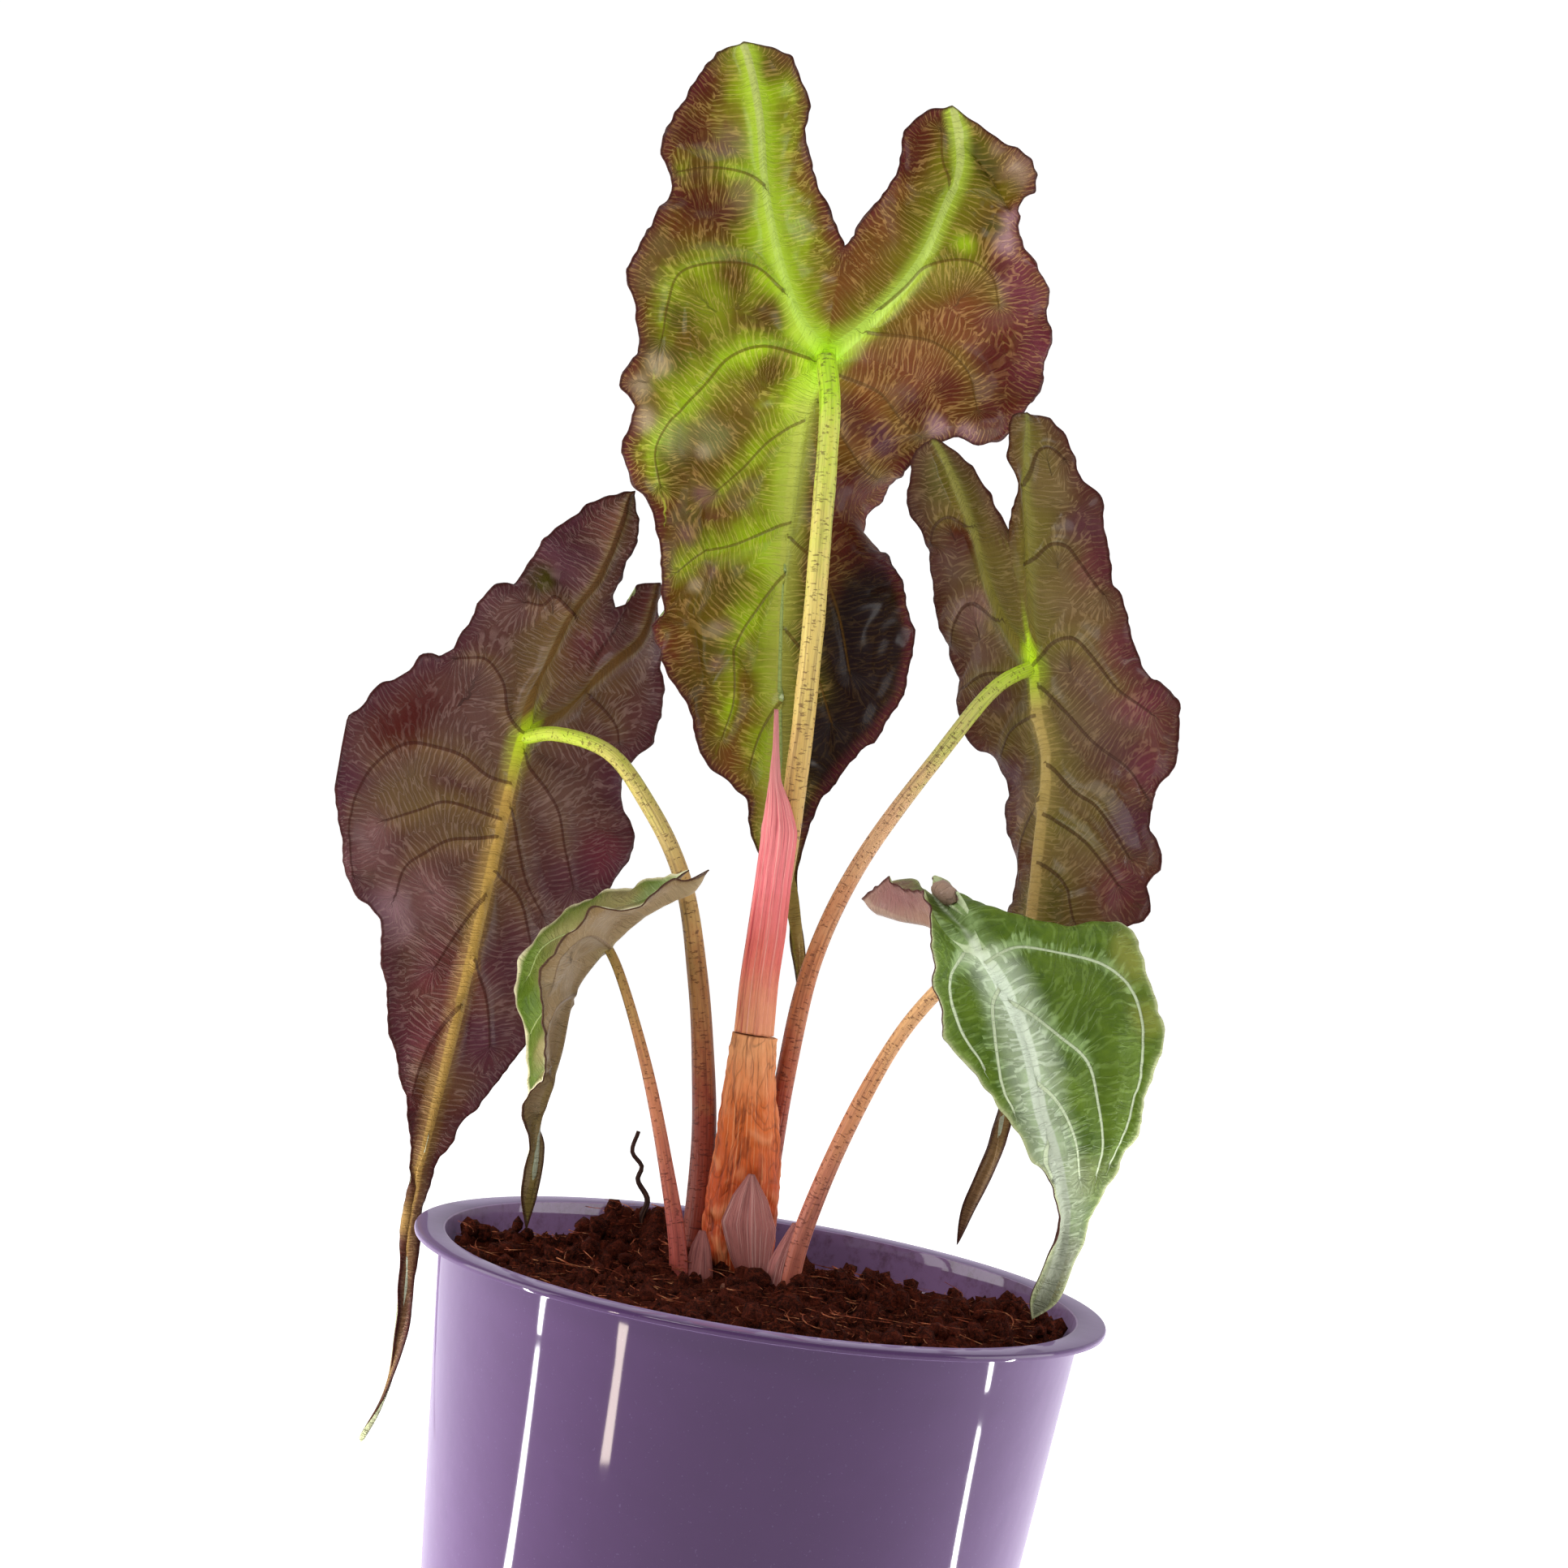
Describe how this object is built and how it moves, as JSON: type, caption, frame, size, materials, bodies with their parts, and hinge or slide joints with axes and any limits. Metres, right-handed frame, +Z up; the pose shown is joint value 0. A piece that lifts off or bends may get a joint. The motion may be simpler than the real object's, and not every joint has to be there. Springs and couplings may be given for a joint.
{
  "type": "potted alocasia plant",
  "caption": "Potted alocasia with arrow-shaped, waved leaves on tall bending stalks, in a plain round nursery pot of soil.",
  "frame": {"origin": "centre of the pot's flat underside", "axes": "+Z up along the pot's axis, -Y towards the viewer of the picture, +X to the viewer's right"},
  "size_m": [0.1572, 0.129, 0.34],
  "materials": {
    "pot": "glossy lilac, slightly translucent plastic",
    "soil": "dark reddish-brown coir and peat",
    "large_leaf_blade": "satin leaf, yellow-green to maroon",
    "left_leaf_blade": "satin leaf, mauve-brown",
    "right_leaf_blade": "satin leaf, olive-mauve",
    "small_left_leaf_blade": "satin leaf, green with pale veins",
    "small_right_leaf_blade": "satin leaf, green with silvery veins",
    "large_leaf_stalk": "satin, yellow-green fading to red-brown",
    "left_leaf_stalk": "satin, olive fading to red-brown",
    "right_leaf_stalk": "satin, olive fading to red-brown",
    "small_left_leaf_stalk": "satin, olive fading to red-brown",
    "small_right_leaf_stalk": "satin, olive fading to pale tan",
    "pink_sheath": "satin, coral and pink ribs",
    "papery_sheath": "dry, wrinkled orange-brown",
    "base_sheath": "dull mauve",
    "dead_root": "dull black-brown",
    "bark_chip": "dull dark grey-brown"
  },
  "bodies": {
    "root": {"pot": "pot", "soil": "soil", "large_leaf_blade": "large_leaf_blade", "left_leaf_blade": "left_leaf_blade", "right_leaf_blade": "right_leaf_blade", "small_left_leaf_blade": "small_left_leaf_blade", "small_right_leaf_blade": "small_right_leaf_blade", "large_leaf_stalk": "large_leaf_stalk", "left_leaf_stalk": "left_leaf_stalk", "right_leaf_stalk": "right_leaf_stalk", "small_left_leaf_stalk": "small_left_leaf_stalk", "small_right_leaf_stalk": "small_right_leaf_stalk", "pink_sheath": "pink_sheath", "papery_sheath": "papery_sheath", "base_sheath": "base_sheath", "dead_root": "dead_root", "bark_chip": "bark_chip"}
  },
  "joints": []
}
